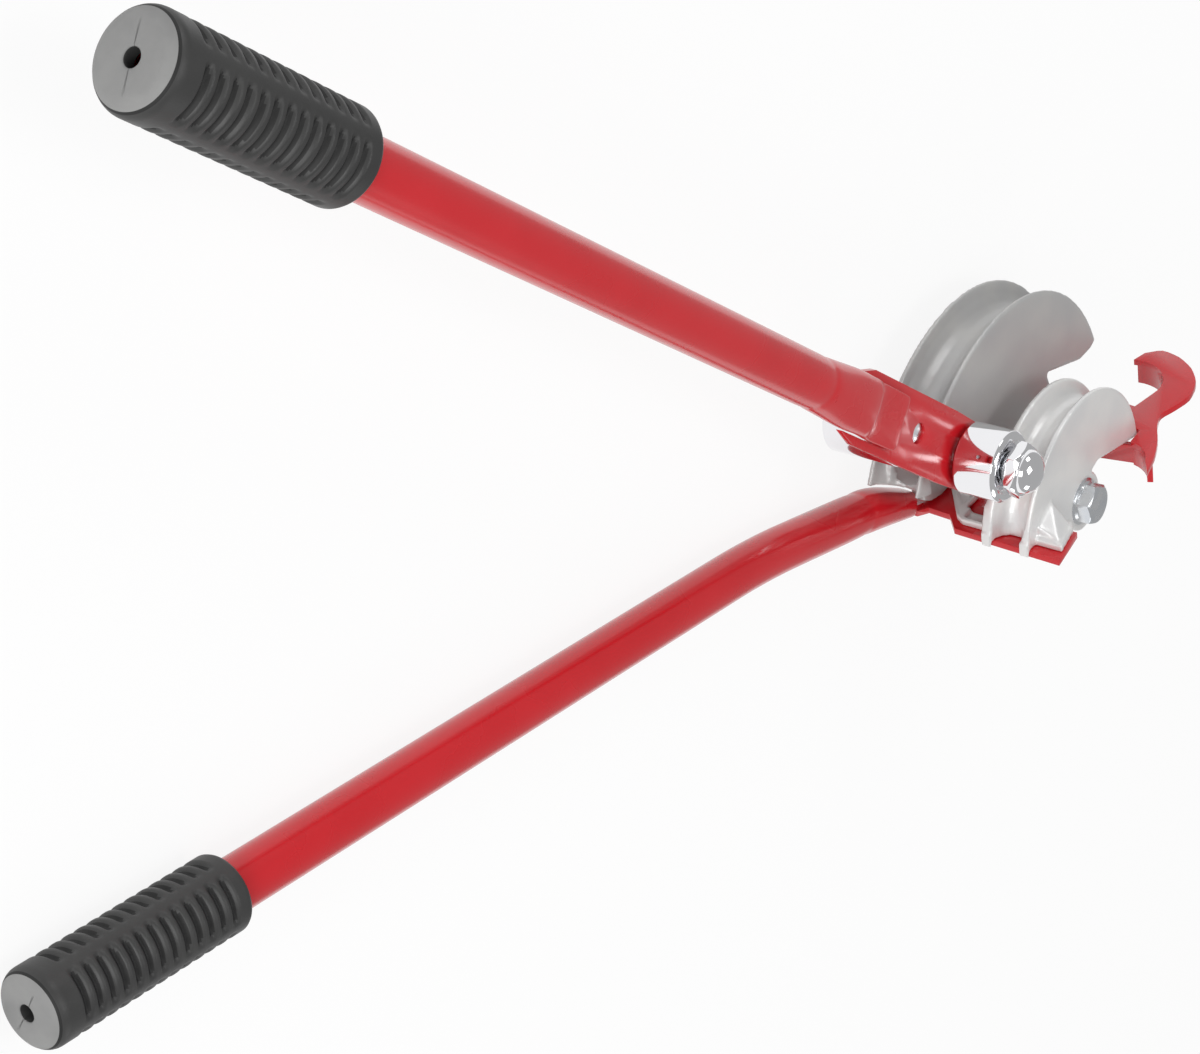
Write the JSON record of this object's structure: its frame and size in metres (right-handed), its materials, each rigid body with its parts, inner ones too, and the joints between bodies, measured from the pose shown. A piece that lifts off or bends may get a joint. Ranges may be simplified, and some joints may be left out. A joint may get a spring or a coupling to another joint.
{
  "type": "tube bender",
  "caption": "Two-handled tube bender: a large and a small grooved former on one pivot, a plate with a tube hook, and a swinging arm with a roller for each former",
  "frame": {"origin": "Middle of the pivot bolt's end face, on the pivot axis, where the tool's head rests on a bench", "axes": "+Z along the pivot bolt towards its head, +X along the base plate towards the tube hook, +Y away from the plate towards the tops of the formers"},
  "size_m": [0.6822, 0.4656, 0.0988],
  "materials": {
    "red_paint": "glossy red enamel on steel",
    "cast_aluminium": "satin fine-grained casting",
    "chrome": "bright chrome plate",
    "zinc_steel": "bright zinc plate on steel",
    "black_rubber": "satin black moulded rubber"
  },
  "bodies": {
    "frame": {"base_plate": "red_paint", "large_former": "cast_aluminium", "small_former": "cast_aluminium", "small_former_screw_1": "zinc_steel", "small_former_screw_2": "zinc_steel", "pivot_bolt": "zinc_steel", "pivot_nut": "zinc_steel", "pivot_washer": "zinc_steel", "pivot_bush": "zinc_steel", "arm_spacer_back": "zinc_steel", "arm_spacer_front": "zinc_steel", "fixed_handle_tube": "red_paint", "fixed_handle_grip": "black_rubber"},
    "arm": {"arm_bracket": "red_paint", "moving_handle_tube": "red_paint", "moving_handle_grip": "black_rubber", "small_roller_bolt": "zinc_steel", "small_roller_spacer": "zinc_steel", "small_roller_washer": "chrome", "small_roller_cap_nut": "chrome", "large_roller_axle": "zinc_steel", "large_roller_spacer": "zinc_steel"},
    "small_roller": {"small_roller": "chrome"},
    "large_roller": {"large_roller": "chrome"}
  },
  "joints": [
    {"name": "arm_swing", "type": "hinge", "parent": "frame", "child": "arm", "pos_m": [0, 0, 0.0521], "axis": [0, 0, 1], "range_deg": [-110, 4]},
    {"name": "small_roller_spin", "type": "hinge", "parent": "arm", "child": "small_roller", "pos_m": [-0.05431, 0.05245, 0.0656], "axis": [0, 0, 1], "continuous": true},
    {"name": "large_roller_spin", "type": "hinge", "parent": "arm", "child": "large_roller", "pos_m": [-0.0892, 0.08614, 0.032], "axis": [0, 0, 1], "continuous": true}
  ]
}
